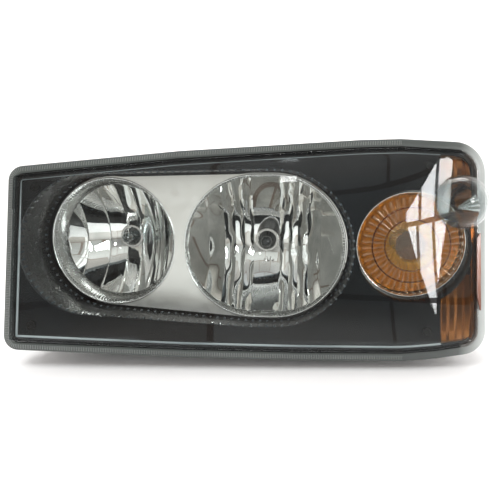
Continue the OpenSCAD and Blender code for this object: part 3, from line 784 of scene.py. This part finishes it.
plainSkirt("lowSkirt", [
    (lowLoop(1.0, 360), plateY + 0.3), (lowLoop(0.8, 360), plateY + 1.2), (lowLoop(0.6, 360), plateY + 2.0),
    (lowLoop(-0.3, 360), lambda p: max(bowlDepth(p[0] - lowAt[0], p[1] - lowAt[1]) + 0.4, plateY + 2.6))])
skirtRibs("lowSkirtRibs", [inRow(x, plateY + 4.2, z) for x, z in lowLoop(0.1, 360)],
          lowBowl["skirtRibs"], (1.1, 4.0, 1.0))


def lathe(name, centre, profile, look, sides=96, put=inRow, closed=True):  # (radius, depth) turned about Y
    rings = [[put(x, depth, z) for x, z in circleLoop(*centre, max(r, 0.001), sides)] for r, depth in profile]
    obj = makePiece(name, *ringMesh(rings + rings[:1] if closed else rings), [look])
    tidyMesh(obj, 2e-6)
    sharpen(obj, 32)
    return obj


def tubeLoop(name, loop, y, r, look, sides=10):  # round bead along a closed loop
    rings = []
    for k in range(sides):
        a = 2 * math.pi * k / sides
        ring = []
        for i, (x, z) in enumerate(loop):
            before, after = loop[i - 1], loop[(i + 1) % len(loop)]
            tx, tz = after[0] - before[0], after[1] - before[1]
            span = math.hypot(tx, tz)
            ring.append(inRow(x + tz / span * r * math.cos(a), y + r * math.sin(a),
                              z - tx / span * r * math.cos(a)))
        rings.append(ring)
    obj = makePiece(name, *ringMesh(rings + rings[:1]), [look])
    tidyMesh(obj)
    return obj


rimRadius = 0.8
for name, loop in (("highRim", circleLoop(*highAt, lampPlace["highR"] - 0.2, 180)),
                   ("lowRim", lowLoop(1.4, 240))):
    place(tubeLoop(name, loop, plateY - 0.3, rimRadius, mats["bright"]), "reflector_unit", "mirror_bright")

for name, at, y in (("high", highAt, lampPlace["highHoleY"]), ("low", lowAt, lampPlace["lowHoleY"])):
    collar = lathe(name + "Collar", at, [(10.2, y + 2), (10.2, y - 5.2), (10.7, y - 5.8), (12.6, y - 5.8),
                                         (13.2, y - 5.2), (13.6, y - 1.4), (15.6, y - 0.6), (15.6, y + 0.4),
                                         (12.8, y + 0.4), (12.8, y + 2)], mats["mirrorDull"])
    place(collar, "reflector_unit", "mirror_dull")

print("bulbs")
bulbShape = {
    "seat": 14.0, "tip": 34.0, "tipRadius": 6.1, "tipWall": 0.2,
    "turns": 14, "coilLength": 5.2, "coilRadius": 0.75, "wire": 0.22,
    # leads: to the side, and distance from the seat
    "leadIn": [(-2.4, 4), (-2.0, 16)], "leadOut": [(2.4, 27), (3.0, 20), (2.6, 4)],
}


def blackTip(name, at, seatY):  # painted cap on the end of the glass
    r, endY = bulbShape["tipRadius"], seatY - bulbShape["tip"]
    profile = [(0.0, endY - r)]
    for i in range(1, 9):
        a = math.radians(90 - i * 10)
        profile.append((r * math.cos(a), endY - r * math.sin(a)))
    profile += [(r, endY + 5.0), (r - 0.2, endY + 5.2)]
    tip = lathe(name, at, profile, mats["blackTip"], 48, closed=False)
    place(thicken(tip, bulbShape["tipWall"]), "reflector_unit", "bulb_metal")


def filament(name, at, seatY):  # coiled wire between its two leads
    turns, steps, radius = bulbShape["turns"], bulbShape["turns"] * 16, bulbShape["coilRadius"]
    path = [(at[0] + side, seatY - far, at[1]) for side, far in bulbShape["leadIn"]]
    for i in range(steps + 1):
        a = 2 * math.pi * turns * i / steps
        path.append((at[0] + radius * math.cos(a), seatY - 20 - bulbShape["coilLength"] * i / steps,
                     at[1] + radius * math.sin(a)))
    path += [(at[0] + side, seatY - far, at[1]) for side, far in bulbShape["leadOut"]]
    curve = bpy.data.curves.new(name, "CURVE")
    curve.dimensions = "3D"
    curve.bevel_depth = bulbShape["wire"] * mm
    curve.bevel_resolution = 2
    spline = curve.splines.new("POLY")
    spline.points.add(len(path) - 1)
    for point, at in zip(spline.points, path):
        point.co = (*inRow(*at), 1)
    wire = bpy.data.objects.new(name + "Curve", curve)
    scene.collection.objects.link(wire)
    mesh = bpy.data.meshes.new_from_object(wire.evaluated_get(bpy.context.evaluated_depsgraph_get()))
    bpy.data.objects.remove(wire)
    mesh.materials.clear()
    mesh.materials.append(mats["filament"])
    obj = bpy.data.objects.new(name, mesh)
    scene.collection.objects.link(obj)
    place(obj, "reflector_unit", "bulb_metal")


filament("highFilament", highAt, lampPlace["highHoleY"] + bulbShape["seat"])
blackTip("lowBlackTip", lowAt, lampPlace["lowHoleY"] + bulbShape["seat"])
filament("lowFilament", lowAt, lampPlace["lowHoleY"] + bulbShape["seat"])

# vent hole low in the bowl, filled with a black plug that is painted shade, and the ring of small ridges that
# its tool leaves round it
vent = {"x": 2.2, "z": -25.0, "hole": 2.0, "petals": 10, "ring": 5.2}
ventAt = (lowAt[0] + vent["x"], lowAt[1] + vent["z"])
ventY = bowlDepth(vent["x"], vent["z"])
holeShadeProfile = [(0.0, ventY - 0.5), (vent["hole"], ventY - 0.5), (vent["hole"], ventY + 1.0),
              (0.0, ventY + 1.0)]
place(lathe("ventHoleShade", ventAt, holeShadeProfile, mats["blackTip"], 32, closed=False),
      "reflector_unit", "bulb_metal")
skirtRibs("ventPetals", [inRow(x, ventY - 0.9, z) for x, z in circleLoop(*ventAt, vent["ring"], 60)],
          vent["petals"], (1.2, 1.6, 3.2))

print("turn signal")
turnShape = {
    "r": 51.0, "flutes": 44, "rimY": -74.0, "fluteDepth": 3.6, "window": 14.6,
    "rings": [(14.5, -2.2), (15.5, -6.2), (17, -6.8), (21, -7.0), (25, -6.9), (25.6, -4.6), (27, -4.4),
              (32, -4.8), (36.6, -4.6), (37.2, -2.9), (39, -2.7), (43, -2.9), (47, -2.6), (49.5, -2.0),
              (51, -0.6), (51, 2)],
    "steps": [(25.3, -5.0), (36.9, -3.3)], "stepRadius": 0.75,
    "mirrorRings": 15, "mirrorFrom": 12, "mirrorTo": 49, "mirrorBack": -33, "mirrorFocus": 18.5,
    "mirrorFlutes": 24, "mirrorDepth": 3.2,
}


def fluteTree():  # presses rounded flutes into a dish: the deeper the further from its axis
    tree, given = newTree("radialFlutes", (
        ("Flutes", "Float", 44.0), ("Depth", "Float", 0.001), ("Centre", "Vector", (0, 0, 0)),
        ("Start", "Float", 0.01), ("End", "Float", 0.05)))
    here = addNode(tree, "GeometryNodeInputPosition")
    away = addNode(tree, "ShaderNodeVectorMath", {"operation": "SUBTRACT"}, in0=here, in1=given["Centre"])
    part = addNode(tree, "ShaderNodeSeparateXYZ", Vector=away)
    flat = addNode(tree, "ShaderNodeVectorMath", {"operation": "MULTIPLY", 1: (1, 0, 1)}, in0=away)
    radius = addNode(tree, "ShaderNodeVectorMath", {"operation": "LENGTH"}, in0=flat).outputs["Value"]
    grow = addNode(tree, "ShaderNodeMapRange", {3: 0.35, 4: 1.0}, Value=radius,
                   in1=given["Start"], in2=given["End"])
    sums = {"x": part.outputs["X"], "z": part.outputs["Z"], "flutes": given["Flutes"], "radius": radius,
            "start": given["Start"], "end": given["End"], "grow": grow, "depth": given["Depth"]}
    mathSteps(tree, sums, (
        ("angle", "ARCTAN2", "z", "x"), ("angle", "MULTIPLY", "angle", "flutes"),
        ("angle", "MULTIPLY", "angle", 0.5), ("lift", "SINE", "angle"), ("lift", "ABSOLUTE", "lift"),
        ("inside", "GREATER_THAN", "radius", "start"), ("outside", "LESS_THAN", "radius", "end"),
        ("lift", "MULTIPLY", "lift", "grow"), ("lift", "MULTIPLY", "lift", "inside"),
        ("lift", "MULTIPLY", "lift", "outside"), ("lift", "MULTIPLY", "lift", "depth"),
        ("lift", "MULTIPLY", "lift", -1.0)))
    move = addNode(tree, "ShaderNodeCombineXYZ", Y=sums["lift"])
    pressed = addNode(tree, "GeometryNodeSetPosition", Geometry=given["Geometry"], Offset=move)
    return endTree(tree, given, pressed)


flutes = fluteTree()


def flutedDish(name, profile, number, depth, look, start, end, samples=10, thick=1.2):
    dense = number * samples
    obj = makePiece(name, *ringMesh([[inRow(x, y, z) for x, z in circleLoop(*turnAt, r, dense)]
                                     for r, y in profile]), [look])
    runTree(obj, flutes, {"Flutes": float(number), "Depth": depth * mm,
                          "Centre": inRow(turnAt[0], 0, turnAt[1]), "Start": start * mm, "End": end * mm,
                          "Finish": look})
    tidyMesh(obj)
    sharpen(obj, 28)
    return thicken(obj, thick, -1.0)


rimY = turnShape["rimY"]
amberDish = flutedDish("amberDish", [(r, rimY + y) for r, y in turnShape["rings"]], turnShape["flutes"],
                       turnShape["fluteDepth"], mats["amberLens"], 16.5, 49.0)
place(amberDish, "housing", "amber_clear", ["turn_lens"])
windowR = turnShape["window"]
windowProfile = [(0, rimY - 1.6), (windowR, rimY - 2.2), (windowR, rimY - 1.0), (0, rimY - 0.4)]
place(lathe("amberWindow", turnAt, windowProfile, mats["amberLens"], 64, closed=False),
      "housing", "amber_clear")
mirrorProfile = []
for k in range(turnShape["mirrorRings"]):
    share = k / (turnShape["mirrorRings"] - 1)
    r = turnShape["mirrorFrom"] + (turnShape["mirrorTo"] - turnShape["mirrorFrom"]) * share
    mirrorProfile.append((r, turnShape["mirrorBack"] - r * r / (4 * turnShape["mirrorFocus"])))
place(flutedDish("turnFacets", mirrorProfile, turnShape["mirrorFlutes"], turnShape["mirrorDepth"],
                 mats["satin"], 12.5, 48.0, 8, 0.5), "housing", "mirror_dull")
place(tubeLoop("turnRim", circleLoop(*turnAt, turnShape["r"] + 0.5, 144), rimY - 1.2, rimRadius,
               mats["bright"]), "housing", "mirror_dull")
for k, (r, y) in enumerate(turnShape["steps"]):  # steps between the rings of flutes, dark with painted shade
    place(tubeLoop("turnStep%d" % (k + 1), circleLoop(*turnAt, r, 144), rimY + y, turnShape["stepRadius"],
                   mats["stepShade"]), "housing", "amber_clear")

print("side marker")
marker = {
    "starAt": (200.5, 40.0), "facets": 18, "from": -88.0, "to": 38.0, "fold": 0.09, "chromeFrom": 11,
    "arms": [(2.6, -2.5), (11.0, -6.0), (20.0, -9.5)],  # radius and depth along a facet's edge
    "bowlAt": (202.0, 46.0),
    "bowl": [(18.8, 1.2), (14.8, 5.5), (8.8, 9.0), (5.0, 10.5), (5.0, 11.1), (8.8, 9.6), (14.8, 6.1),
             (18.8, 1.8)],
}
verts, faces, finishes = [], [], []
for i in range(marker["facets"] + 1):
    a = math.radians(marker["from"] + (marker["to"] - marker["from"]) * i / marker["facets"])
    for r, d in marker["arms"]:
        verts.append(onLens(marker["starAt"][0] + r * math.cos(a), d + i % 2 * marker["fold"] * r,
                            marker["starAt"][1] + r * math.sin(a)))
for i in range(marker["facets"]):
    for k in (3 * i, 3 * i + 1):
        faces.append((k, k + 1, k + 4, k + 3))
        finishes.append(0 if i >= marker["chromeFrom"] else 1)
place(lathe("markerBowl", marker["bowlAt"], marker["bowl"], mats["amberPanel"], 48, onLens),
      "housing", "amber_panel")
markerStar = makePiece("markerStar", verts, faces, [mats["mirrorDull"], mats["amberPanel"]], smooth=False,
                       matIndex=finishes)
tidyMesh(markerStar)
thicken(markerStar, 0.6, 0.0)
place(markerStar, "housing", "mirror_dull")


def endStrip(name, look, low, high, outer, inner, front, back, taper=True):
    # bar along the end of the outline between two insets, narrowed at its ends where it tapers
    path = sorted([p for p in hullLoop(outlineCircles, 1400, outer) if p[0] > 200 and low <= p[1] <= high],
                  key=lambda p: p[1])
    corners = ((0, back), (0, front), (1, front), (1, back))
    verts, faces = [], []
    for i, (x, z) in enumerate(path):
        t = i / (len(path) - 1)
        width = (inner - outer) * (min(1, 4.0 * t + 0.15, 9 * (1 - t) + 0.3) if taper else 1)
        verts += [onLens(x - width * side, depth, z) for side, depth in corners]
    for i in range(len(path) - 1):
        for k in range(4):
            faces.append((4 * i + k, 4 * i + (k + 1) % 4, 4 * i + 4 + (k + 1) % 4, 4 * i + 4 + k))
    faces += [(3, 2, 1, 0), tuple(len(verts) - 4 + k for k in range(4))]
    obj = makePiece(name, verts, faces, [look], smooth=False)
    tidyMesh(obj)
    return obj


reflexShape = {"low": -57.0, "high": 16.5, "outer": 5.8, "inner": 9.7, "front": -4.0, "back": -2.5}
backingShape = {"low": -84.0, "high": 52.0, "outer": 9.9, "inner": 13.4, "front": 0.1, "back": 0.4,
                "taper": False}
place(endStrip("reflexBar", mats["reflex"], **reflexShape), "housing", "reflex_amber", ["reflex_strip"])
place(endStrip("endBacking", mats["amberPanel"], **backingShape), "housing", "amber_panel")

panel = {"from": 187.0, "to": 217.5, "inset": 13.7, "depth": 0.9, "fold": 1.5, "pleat": 7.4, "bow": 1.4,
         "rows": 16, "columns": 84, "clearOf": [(turnAt, 55.8), (marker["bowlAt"], 19.2)]}


def pleatedPanel(name, low, high, replaced):
    # lacquered panel behind the lens end, pressed into upright pleats that throw streaks of light
    rim = hullLoop(outlineCircles, 900, panel["inset"])
    columns = []
    for c in range(panel["columns"] + 1):
        x = panel["from"] + (panel["to"] - panel["from"]) * c / panel["columns"]
        cross = [p[1] for p, after in zip(rim, rim[1:] + rim[:1]) if (p[0] - x) * (after[0] - x) <= 0]
        if len(cross) < 2:
            break
        bottom, top = max(low, min(cross)), min(high, max(cross))
        for (hereX, hereZ), radius in panel["clearOf"]:
            if abs(x - hereX) < radius:
                side = math.sqrt(radius * radius - (x - hereX) ** 2)
                if top > hereZ and high > 0:
                    bottom = max(bottom, hereZ + side)
                elif top < hereZ:
                    top = min(top, hereZ - side)
        bottom = min(bottom, top)
        phase = abs((x / panel["pleat"]) % 1.0 - 0.5) * 2
        column = []
        for k in range(panel["rows"] + 1):
            t = k / panel["rows"]
            depth = panel["depth"] - panel["fold"] * phase - panel["bow"] * 4 * t * (1 - t)
            column.append(onLens(x, depth, bottom + (top - bottom) * t))
        columns.append(column)
    tall = panel["rows"] + 1
    faces = [(k, k + tall, k + tall + 1, k + 1) for c in range(len(columns) - 1)
             for k in range(c * tall, c * tall + tall - 1)]
    obj = makePiece(name, [p for column in columns for p in column], faces, [mats["amberPanel"]])
    tidyMesh(obj, 1e-5, outward=False)
    sharpen(obj, 14)
    thicken(obj, 0.6, -1.0)
    place(obj, "housing", "amber_panel", replaced)


pleatedPanel("upperPanel", 41.0, 150.0, ["side_reflector_upper"])
pleatedPanel("lowerPanel", -150.0, -23.0, ["side_reflector_lower"])

print("housing back")
back = {"wallY": -9.0, "high": 5.0, "thick": 1.8, "towerR": 48.5, "spokes": 20, "spokeLong": 9.0,
        "rims": [19.0, 26.0], "rimHalf": 0.9, "rimDrop": 1.6}
for name, at in (("highTower", highAt), ("lowTower", lowAt)):
    spokeLoop = circleLoop(*at, back["towerR"] + back["spokeLong"] / 2, 120)
    middle = back["wallY"] + back["high"] / 2
    gussets = loopPiece(name + "Gussets", [inRow(x, middle, z) for x, z in spokeLoop])
    runTree(gussets, ribs, {"Count": back["spokes"], "Axis": (0, 1, 0), "Finish": mats["housing"],
                            "Size": (back["thick"] * mm, back["high"] * mm, back["spokeLong"] * mm)})
    place(gussets, "housing", "black_pp")
for k, inset in enumerate(back["rims"]):
    outer = hullLoop(outlineCircles, 240, inset - back["rimHalf"])
    inner = hullLoop(outlineCircles, 240, inset + back["rimHalf"])
    low, high = back["wallY"] - 1.0, back["wallY"] + back["high"] - back["rimDrop"] * k
    rings = [[inRow(x, y, z) for x, z in loop] for loop, y in (
        (outer, low), (outer, high), (inner, high), (inner, low), (outer, low))]
    rim = makePiece("backRim%d" % (k + 1), *ringMesh(rings), [mats["housing"]], smooth=False)
    tidyMesh(rim)
    place(rim, "housing", "black_pp")

print("stage")
paperShape = {  # metres: the floor under the lamp, the round bend behind it and the wall above
    "floorZ": -0.1135, "half": 3.0, "front": -0.34, "bendFrom": 1.6, "bend": 0.8, "wallTop": 3.5,
}
# matt white paper: evenly pale, with no sheen of its own
floorMat, tree, out = newMaterial("paperSweep")
tint = addNode(tree, "ShaderNodeValToRGB", {"stops": [(0.3, grey(0.93)), (0.7, grey(0.96))]},
               Fac=grain(tree, 6, 2.0))
paper = addNode(tree, "ShaderNodeBsdfPrincipled", {"Roughness": 0.8}, Base_Color=tint)
tree.links.new(paper.outputs[0], out.inputs[0])
floorZ, bend, behind = paperShape["floorZ"], paperShape["bend"], paperShape["bendFrom"]
slope = [(paperShape["front"], floorZ)]
for i in range(13):
    a = math.radians(90 * i / 12)
    slope.append((behind + bend * math.sin(a), floorZ + bend - bend * math.cos(a)))
slope.append((behind + bend, paperShape["wallTop"]))
sweep = [(side * paperShape["half"], y, z) for y, z in slope for side in (-1, 1)]
quads = [(2 * i, 2 * i + 1, 2 * i + 3, 2 * i + 2) for i in range(len(slope) - 1)]
makePiece("paperSweep", sweep, quads, [floorMat])

world = bpy.data.worlds.new("studio")
scene.world = world
world.use_nodes = True
sky = world.node_tree
sky.nodes.clear()
room = {  # azimuth from the front towards the turn signal end, elevation from level, degrees
    "outer": 43.4, "inner": 32.0, "top": 27.0, "bottom": -2.5, "light": 24.0,
    "knee": 13.0, "lean": 1.2, "foot": 0.42, "outerFoot": 0.34,  # how the window's sides lean about the knee
    # azimuth, half width, elevation, half height and light
    "sideWindows": [(-78, 30, 8, 30, 1.2), (96, 26, 10, 26, 1.2)],
    "pale": (0.98, 0.96, 0.94, 1), "warm": (0.52, 0.44, 0.38, 1), "joint": (0.34, 0.2, 0.14, 1),
    "blocks": 0.75, "strength": 1.3, "dimAt": (5.5, 8.5), "dim": 0.5,
}
axes = addNode(sky, "ShaderNodeSeparateXYZ", Vector=addNode(sky, "ShaderNodeTexCoord").outputs["Generated"])
sums = {name: axes.outputs[name] for name in "XYZ"}
mathSteps(sky, sums, (
    ("front", "MULTIPLY", "Y", -1.0), ("bearing", "ARCTAN2", "X", "front"), ("azimuth", "DEGREES", "bearing"),
    ("rise", "ARCSINE", "Z"), ("elevation", "DEGREES", "rise"),
    # the tall window: its inner edge leans in above and below the knee
    ("above", "SUBTRACT", "elevation", room["knee"]), ("above", "MAXIMUM", "above", 0.0),
    ("above", "MULTIPLY", "above", room["lean"]), ("below", "SUBTRACT", room["knee"], "elevation"),
    ("below", "MAXIMUM", "below", 0.0), ("below", "MULTIPLY", "below", room["foot"]),
    ("inner", "ADD", "above", "below"), ("inner", "ADD", "inner", room["inner"]),
    ("window", "GREATER_THAN", "azimuth", "inner"),
    ("outer", "MULTIPLY", "below", -room["outerFoot"] / room["foot"]),
    ("outer", "ADD", "outer", room["outer"]), ("edge", "LESS_THAN", "azimuth", "outer"),
    ("window", "MULTIPLY", "window", "edge"), ("edge", "GREATER_THAN", "elevation", room["bottom"]),
    ("window", "MULTIPLY", "window", "edge"), ("edge", "LESS_THAN", "elevation", room["top"]),
    ("window", "MULTIPLY", "window", "edge"), ("window", "MULTIPLY", "window", room["light"]),
    ("across", "MULTIPLY", "azimuth", 0.1), ("up", "MULTIPLY", "elevation", 0.1),
    ("aside", "SUBTRACT", "azimuth", room["dimAt"][0]), ("aside", "ABSOLUTE", "aside"),
    ("over", "SUBTRACT", "elevation", room["dimAt"][1]), ("over", "ABSOLUTE", "over")))
flat = addNode(sky, "ShaderNodeCombineXYZ", X=sums["across"], Y=sums["up"])
panes = addNode(sky, "ShaderNodeTexBrick", {
    "offset": 0.15, "Scale": 1.0, "Mortar Size": 0.04, "Brick Width": 0.4, "Row Height": 1.15,
    "Color1": grey(1.0), "Color2": grey(0.75), "Mortar": grey(0.04)}, Vector=flat)
blocks = addNode(sky, "ShaderNodeTexBrick", {
    "offset": 0.5, "Scale": 0.62, "Mortar Size": 0.03, "Brick Width": 1.7, "Row Height": 1.15,
    "Color1": room["pale"], "Color2": room["warm"], "Mortar": room["joint"]}, Vector=flat)
height = addNode(sky, "ShaderNodeMapRange", {1: -90.0, 2: 90.0}, Value=sums["elevation"])
level = addNode(sky, "ShaderNodeValToRGB", {"stops": [
    (0.0, (0.8, 0.78, 0.76, 1)), (0.46, (0.86, 0.84, 0.82, 1)), (0.50, (0.55, 0.54, 0.52, 1)),
    (0.55, (0.55, 0.55, 0.54, 1)), (0.60, (0.72, 0.72, 0.71, 1)), (0.68, (0.95, 0.95, 0.94, 1)),
    (0.80, (0.62, 0.63, 0.65, 1)), (1.0, (0.42, 0.43, 0.45, 1))]}, Fac=height)
# the part of the room that faces the lens is kept dim, so the black parts stay black
for name, source, values in (("wide", "aside", {1: 22.0, 2: 36.0, 3: 1.0, 4: 0.0}),
                             ("tall", "over", {1: 9.0, 2: 14.0, 3: room["dim"], 4: 0.0})):
    sums[name] = addNode(sky, "ShaderNodeMapRange", values, Value=sums[source])
mathSteps(sky, sums, (("dim", "MULTIPLY", "wide", "tall"), ("kept", "SUBTRACT", 1.0, "dim"),
                      ("power", "MULTIPLY", "kept", room["strength"])))
mixed = addNode(sky, "ShaderNodeMix", {"data_type": "RGBA", "blend_type": "MULTIPLY", 0: room["blocks"]},
                in6=level, in7=blocks)
base = addNode(sky, "ShaderNodeBackground", Color=mixed.outputs[2], Strength=sums["power"])
glow = addNode(sky, "ShaderNodeBackground", Color=panes, Strength=sums["window"])
total = addNode(sky, "ShaderNodeAddShader", in0=base, in1=glow)
for azimuth, halfWidth, elevation, halfHeight, light in room["sideWindows"]:
    mathSteps(sky, sums, (("lit", "COMPARE", "azimuth", float(azimuth), float(halfWidth)),
                          ("near", "COMPARE", "elevation", float(elevation), float(halfHeight)),
                          ("lit", "MULTIPLY", "lit", "near"), ("lit", "MULTIPLY", "lit", light)))
    pane = addNode(sky, "ShaderNodeBackground", Color=panes, Strength=sums["lit"])
    total = addNode(sky, "ShaderNodeAddShader", in0=total, in1=pane)
plain = addNode(sky, "ShaderNodeBackground", {"Color": (1, 1, 1, 1), "Strength": 1.05})
seen = addNode(sky, "ShaderNodeLightPath")
final = addNode(sky, "ShaderNodeMixShader", in0=seen.outputs["Is Camera Ray"], in1=total, in2=plain)
addNode(sky, "ShaderNodeOutputWorld", Surface=final)


def softbox(name, at, aim, width, height, power):
    light = bpy.data.lights.new(name, "AREA")
    light.shape = "RECTANGLE"
    light.size, light.size_y = width, height
    light.energy = power
    obj = bpy.data.objects.new(name, light)
    obj.location = at
    obj.rotation_euler = (Vector(aim) - Vector(at)).to_track_quat("-Z", "Y").to_euler()
    scene.collection.objects.link(obj)
    return obj


softbox("keyTop", (-0.3, -0.9, 1.3), (0, 0, 0), 1.0, 0.6, 16).visible_glossy = False
softbox("backdropWash", (0, 0.6, 1.9), (0, 2.2, 0.4), 2.2, 0.8, 45)
softbox("ceilingLamp", onLens(186, -1500, 420), onLens(43, -14, 76), 0.075, 0.034, 0.12)

camera = bpy.data.cameras.new("camera")
camera.lens = 30.24
camera.sensor_width = 36
cameraObj = bpy.data.objects.new("camera", camera)
scene.collection.objects.link(cameraObj)
eye = onLens(5.3, -402.0, 0.5)  # square to the lens, a little to the right of its middle
# the camera looks along +depth of the lens frame, with its own up along the lens
upright = Matrix.Rotation(math.radians(90), 4, "X")
cameraObj.matrix_world = Matrix.Translation(eye) @ lensTurn.to_4x4() @ upright
scene.camera = cameraObj
scene.view_settings.view_transform = "Standard"
